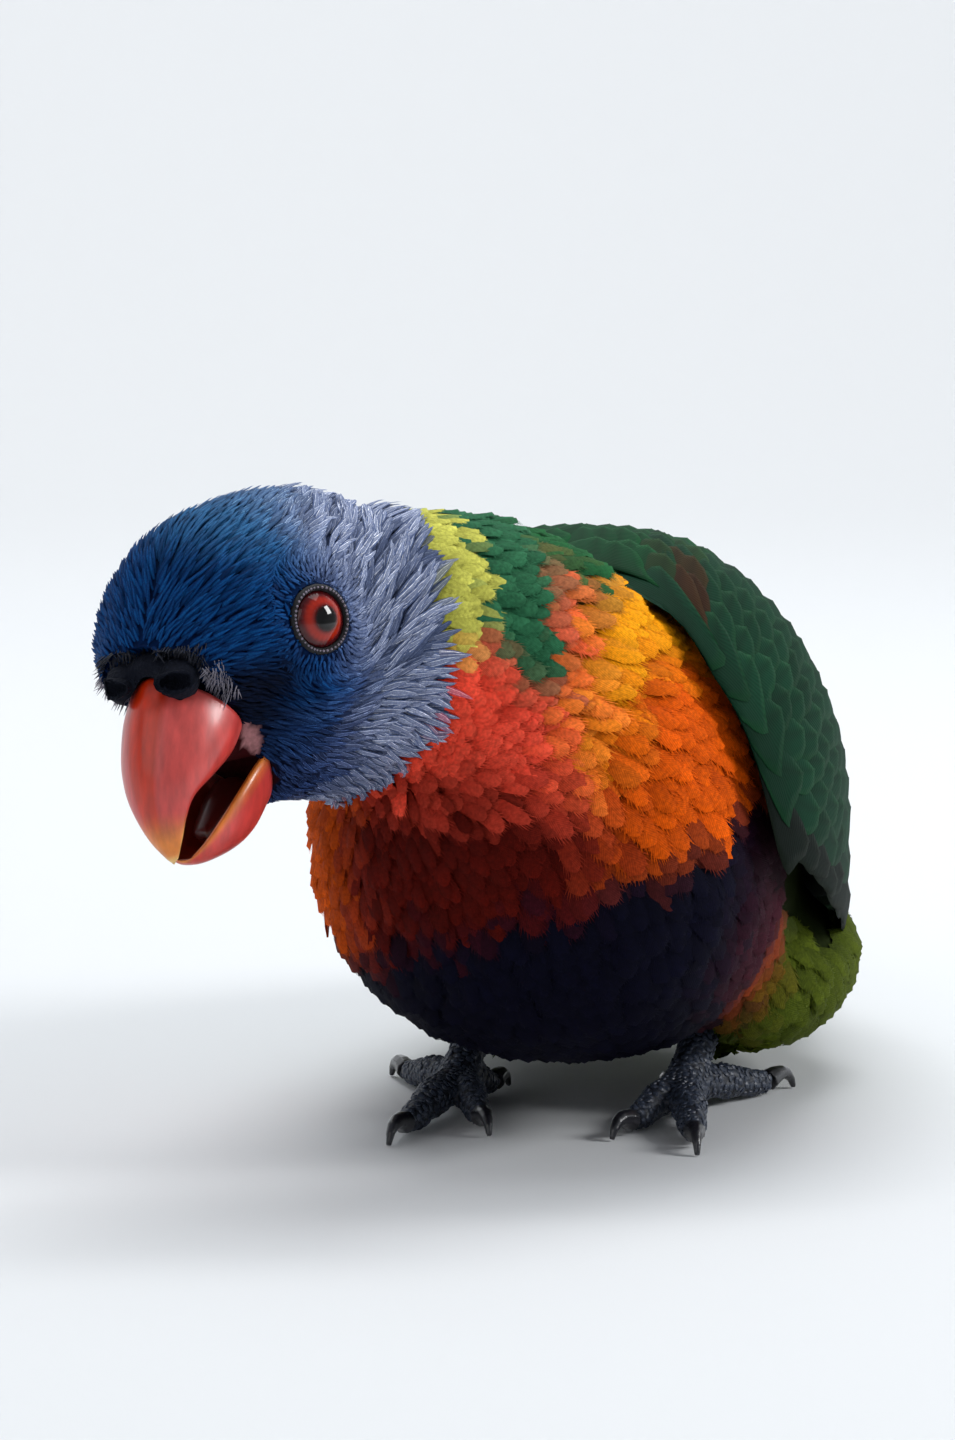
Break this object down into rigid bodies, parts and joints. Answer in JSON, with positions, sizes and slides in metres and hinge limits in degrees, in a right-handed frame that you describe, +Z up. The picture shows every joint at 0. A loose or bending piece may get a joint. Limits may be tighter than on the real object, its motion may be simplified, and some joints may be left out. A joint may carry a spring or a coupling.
{
  "type": "rainbow lorikeet figure",
  "caption": "Life-size still figure of a rainbow lorikeet crouching on both feet, leaning forward with its head lowered and turned, bill a little open, long tail on the ground",
  "frame": {"origin": "centre of the bounding box, at ground level under the feet", "axes": "+Z up; the bird's trunk faces -Y, +X is its left side, and +Y runs back along the tail"},
  "size_m": [0.074, 0.281, 0.0786],
  "materials": {
    "head_plumage": "fine blue feathers over skin",
    "collar_plumage": "green and yellow-green feathers over skin",
    "body_plumage": "orange-red breast feathers over skin",
    "wing_plumage": "green wing feathers",
    "tail_plumage": "green tail feathers",
    "thigh_plumage": "yellow-green feathers over skin",
    "bill_horn": "smooth orange-red horn",
    "tongue": "moist dark red flesh",
    "cere_skin": "dark bare skin",
    "eye": "wet gloss, red iris",
    "foot_scales": "grey scaled skin",
    "claw_horn": "dark smooth horn"
  },
  "bodies": {
    "root": {"head": "head_plumage", "neck": "collar_plumage", "torso": "body_plumage", "wing_left": "wing_plumage", "eye_left": "eye", "wing_right": "wing_plumage", "eye_right": "eye", "tail": "tail_plumage", "bill_upper": "bill_horn", "bill_lower": "bill_horn", "tongue": "tongue", "cere": "cere_skin", "thigh_left": "thigh_plumage", "foot_left": "foot_scales", "claw_left_outer_front": "claw_horn", "claw_left_inner_front": "claw_horn", "claw_left_outer_back": "claw_horn", "claw_left_inner_back": "claw_horn", "thigh_right": "thigh_plumage", "foot_right": "foot_scales", "claw_right_outer_front": "claw_horn", "claw_right_inner_front": "claw_horn", "claw_right_outer_back": "claw_horn", "claw_right_inner_back": "claw_horn"}
  },
  "joints": []
}
